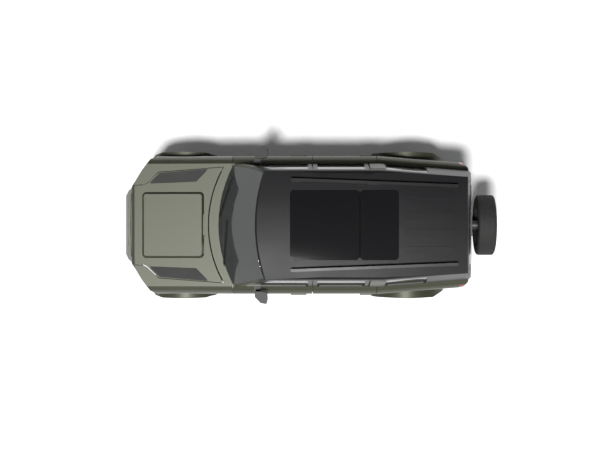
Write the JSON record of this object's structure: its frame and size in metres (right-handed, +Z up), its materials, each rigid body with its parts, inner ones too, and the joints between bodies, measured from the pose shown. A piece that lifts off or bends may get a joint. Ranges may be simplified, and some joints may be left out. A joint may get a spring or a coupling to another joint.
{
  "type": "five-door off-road estate car",
  "caption": "Boxy off-road car with hinged doors, bonnet and side-hung tailgate with its spare wheel, and wheels that roll and steer.",
  "frame": {"origin": "on the ground, midway along the overall length and on the centre line", "axes": "+X forward, +Y to the car left, +Z up"},
  "size_m": [5.018, 2.1, 1.9691],
  "materials": {
    "paint": "metallic clear-coated body paint",
    "roof_paint": "gloss black paint",
    "dark_trim": "grained moulded plastic",
    "glass": "tinted glass",
    "tyre": "black rubber",
    "rim": "dark painted alloy",
    "steel": "coated steel",
    "lamp": "clear lamp cover",
    "tail_lamp": "red lamp cover",
    "underbody": "sealed underbody paint",
    "leather": "leather covers",
    "iron": "cast housings"
  },
  "bodies": {
    "chassis": {"arch_liners": "dark_trim", "bumper_front": "paint", "bumper_lower": "dark_trim", "bumper_rear": "dark_trim", "cowl": "paint", "dashboard": "dark_trim", "driveline": "iron", "engine": "iron", "exhaust": "steel", "fender_left": "paint", "fender_right": "paint", "floor_pan": "underbody", "front_seats": "leather", "front_structure": "underbody", "front_suspension": "steel", "fuel_tank": "steel", "grille": "dark_trim", "headlamps": "lamp", "quarter_glass": "glass", "rear_seat": "leather", "rear_suspension": "steel", "roof": "roof_paint", "roof_glass": "glass", "roof_rails": "dark_trim", "side_frame_left": "paint", "side_frame_right": "paint", "tail_lamps": "tail_lamp", "windscreen": "glass", "wipers": "dark_trim"},
    "front_door_left_body": {"door_front_left": "paint", "door_glass_front_left": "glass", "mirror_left": "dark_trim"},
    "rear_door_left_body": {"door_rear_left": "paint", "door_glass_rear_left": "glass"},
    "knuckle_left_body": {"knuckle_left": "steel"},
    "wheel_front_left": {"tyre_front_left": "tyre", "rim_front_left": "rim"},
    "wheel_rear_left": {"tyre_rear_left": "tyre", "rim_rear_left": "rim"},
    "front_door_right_body": {"door_front_right": "paint", "door_glass_front_right": "glass", "mirror_right": "dark_trim"},
    "rear_door_right_body": {"door_rear_right": "paint", "door_glass_rear_right": "glass"},
    "knuckle_right_body": {"knuckle_right": "steel"},
    "wheel_front_right": {"tyre_front_right": "tyre", "rim_front_right": "rim"},
    "wheel_rear_right": {"tyre_rear_right": "tyre", "rim_rear_right": "rim"},
    "bonnet_body": {"bonnet": "paint", "treadplates": "dark_trim"},
    "tailgate_body": {"tailgate": "paint", "tailgate_glass": "glass", "spare_carrier": "steel", "spare_tyre": "tyre", "spare_rim": "rim"},
    "steering_wheel_body": {"steering_wheel": "leather"}
  },
  "joints": [
    {"name": "front_door_left_hinge", "type": "hinge", "parent": "chassis", "child": "front_door_left_body", "pos_m": [1.002, 0.92, 0.8], "axis": [0, 0, -1], "range_deg": [0, 65]},
    {"name": "rear_door_left_hinge", "type": "hinge", "parent": "chassis", "child": "rear_door_left_body", "pos_m": [-0.068, 0.92, 0.8], "axis": [0, 0, -1], "range_deg": [0, 65]},
    {"name": "front_door_right_hinge", "type": "hinge", "parent": "chassis", "child": "front_door_right_body", "pos_m": [1.002, -0.92, 0.8], "axis": [0, 0, 1], "range_deg": [0, 65]},
    {"name": "rear_door_right_hinge", "type": "hinge", "parent": "chassis", "child": "rear_door_right_body", "pos_m": [-0.068, -0.92, 0.8], "axis": [0, 0, 1], "range_deg": [0, 65]},
    {"name": "bonnet_hinge", "type": "hinge", "parent": "chassis", "child": "bonnet_body", "pos_m": [1.182, 0, 1.23392], "axis": [0, -1, 0], "range_deg": [0, 50]},
    {"name": "tailgate_hinge", "type": "hinge", "parent": "chassis", "child": "tailgate_body", "pos_m": [-2.132, -0.65, 1], "axis": [0, 0, 1], "range_deg": [0, 85]},
    {"name": "steer_left", "type": "hinge", "parent": "chassis", "child": "knuckle_left_body", "pos_m": [1.664, 0.785, 0.407], "axis": [0, 0, 1], "range_deg": [-32, 32]},
    {"name": "steer_right", "type": "hinge", "parent": "chassis", "child": "knuckle_right_body", "pos_m": [1.664, -0.785, 0.407], "axis": [0, 0, 1], "range_deg": [-32, 32]},
    {"name": "steering_wheel_turn", "type": "hinge", "parent": "chassis", "child": "steering_wheel_body", "pos_m": [0.552, 0.39, 1.01], "axis": [-0.9135, 0, 0.4067], "range_deg": [-448, 448]},
    {"name": "wheel_front_left_spin", "type": "hinge", "parent": "knuckle_left_body", "child": "wheel_front_left", "pos_m": [1.664, 0.852, 0.407], "axis": [0, 1, 0], "continuous": true},
    {"name": "wheel_rear_left_spin", "type": "hinge", "parent": "chassis", "child": "wheel_rear_left", "pos_m": [-1.358, 0.852, 0.407], "axis": [0, 1, 0], "continuous": true},
    {"name": "wheel_front_right_spin", "type": "hinge", "parent": "knuckle_right_body", "child": "wheel_front_right", "pos_m": [1.664, -0.852, 0.407], "axis": [0, 1, 0], "continuous": true},
    {"name": "wheel_rear_right_spin", "type": "hinge", "parent": "chassis", "child": "wheel_rear_right", "pos_m": [-1.358, -0.852, 0.407], "axis": [0, 1, 0], "continuous": true}
  ],
  "couplings": [
    {"joint": "steer_right", "follows": "steer_left", "ratio": 1},
    {"joint": "steering_wheel_turn", "follows": "steer_left", "ratio": 13.5}
  ]
}
